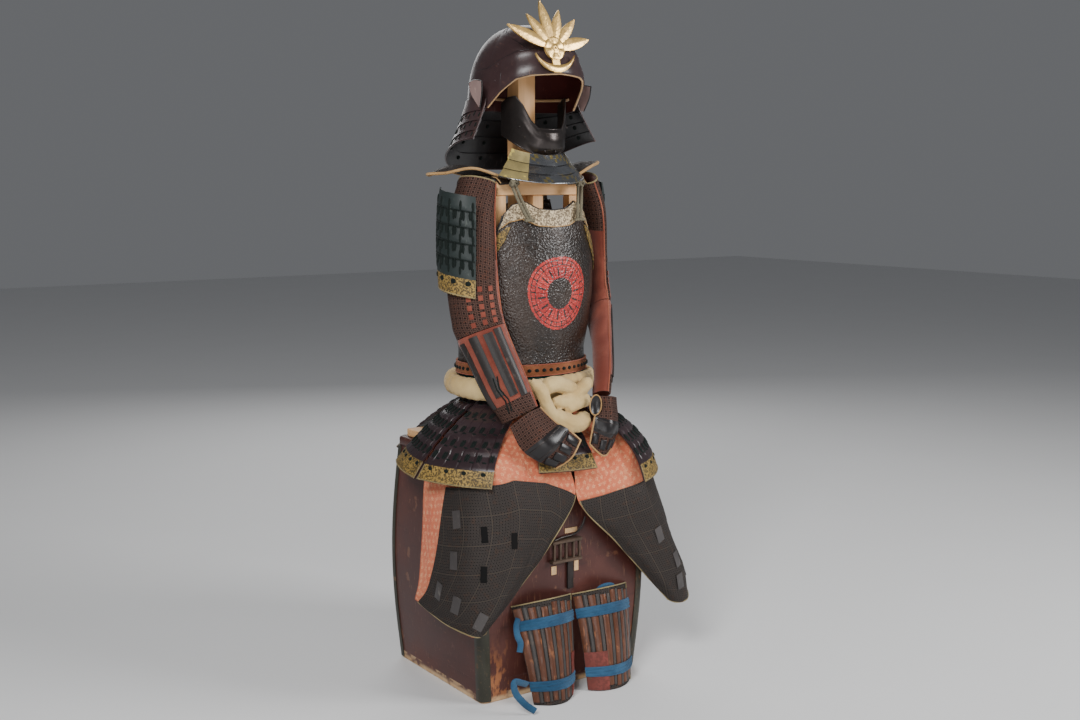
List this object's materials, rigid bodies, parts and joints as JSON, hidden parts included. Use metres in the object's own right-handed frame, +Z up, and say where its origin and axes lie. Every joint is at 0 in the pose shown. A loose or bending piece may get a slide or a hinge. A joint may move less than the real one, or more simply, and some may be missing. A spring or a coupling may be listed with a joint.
{
  "type": "samurai armour on wooden stand and storage chest",
  "caption": "Old Japanese armour: helmet, half mask, cuirass, sleeves, tassets and thigh guards on a wooden stand over its storage chest, shin guards leaning in front.",
  "frame": {"origin": "on the chest's underside, below the armour's own axis", "axes": "+Z up, +X towards the wearer's left, -Y the way the armour faces"},
  "size_m": [0.6621, 0.5236, 1.5017],
  "materials": {
    "chest_lacquer": "dark red-brown lacquered wood, scratched and worn at the edges",
    "iron": "dark russet iron, satin",
    "pine": "plain light pine",
    "leather": "black-brown pebbled glossy leather",
    "printed_leather": "tan leather printed with small dark specks",
    "red_brown_cloth": "faded red-brown hemp cloth",
    "mail": "blackened mail on dark cloth",
    "cream_cloth": "cream cotton padded sash",
    "lacquer": "dark purple-brown satin lacquer over iron",
    "brocade": "faded salmon brocade with pale spots",
    "cord": "olive-grey silk cord",
    "gilt": "pale gilt, satin",
    "steel": "worn polished steel with flecks of gold",
    "splint": "brown and grey lacquered splints",
    "indigo_cloth": "faded indigo cotton"
  },
  "bodies": {
    "root": {"chest_body": "chest_lacquer", "chest_lid": "chest_lacquer", "chest_lock": "iron", "chest_hasp": "iron", "stand": "pine", "cuirass_front": "leather", "cuirass_back": "leather", "chest_band": "printed_leather", "armhole_strip_right": "printed_leather", "armhole_strip_left": "printed_leather", "waist_band": "red_brown_cloth", "waist_laces": "mail", "sash": "cream_cloth", "sash_knot": "cream_cloth", "tasset_front": "lacquer", "tasset_front_right": "lacquer", "tasset_front_left": "lacquer", "tasset_right": "lacquer", "tasset_left": "lacquer", "tasset_back_right": "lacquer", "tasset_back_left": "lacquer", "thigh_cloth_right": "brocade", "thigh_mail_right": "mail", "thigh_cloth_left": "brocade", "thigh_mail_left": "mail", "sleeve_upper_right": "mail", "sleeve_lower_right": "red_brown_cloth", "sleeve_upper_left": "mail", "sleeve_lower_left": "red_brown_cloth", "hand_guard_right": "iron", "hand_guard_left": "iron", "shoulder_strap_right": "leather", "shoulder_wing_right": "mail", "fastening_cord_right": "cord", "shoulder_strap_left": "leather", "shoulder_wing_left": "mail", "fastening_cord_left": "cord", "shoulder_guard_right": "leather", "shoulder_guard_left": "leather", "helmet_bowl": "lacquer", "helmet_ear_right": "lacquer", "helmet_ear_left": "lacquer", "neck_lame_1": "lacquer", "neck_lame_2": "lacquer", "neck_lame_3": "lacquer", "neck_lame_4": "lacquer", "helmet_crest": "gilt", "half_mask": "iron", "throat_lame_1": "steel", "throat_lame_2": "steel", "throat_lame_3": "steel", "shin_guard_right": "splint", "shin_band_high_right": "indigo_cloth", "shin_band_low_right": "indigo_cloth", "shin_guard_left": "splint", "shin_band_high_left": "indigo_cloth", "shin_band_low_left": "indigo_cloth", "shin_tie_right": "indigo_cloth"}
  },
  "joints": []
}
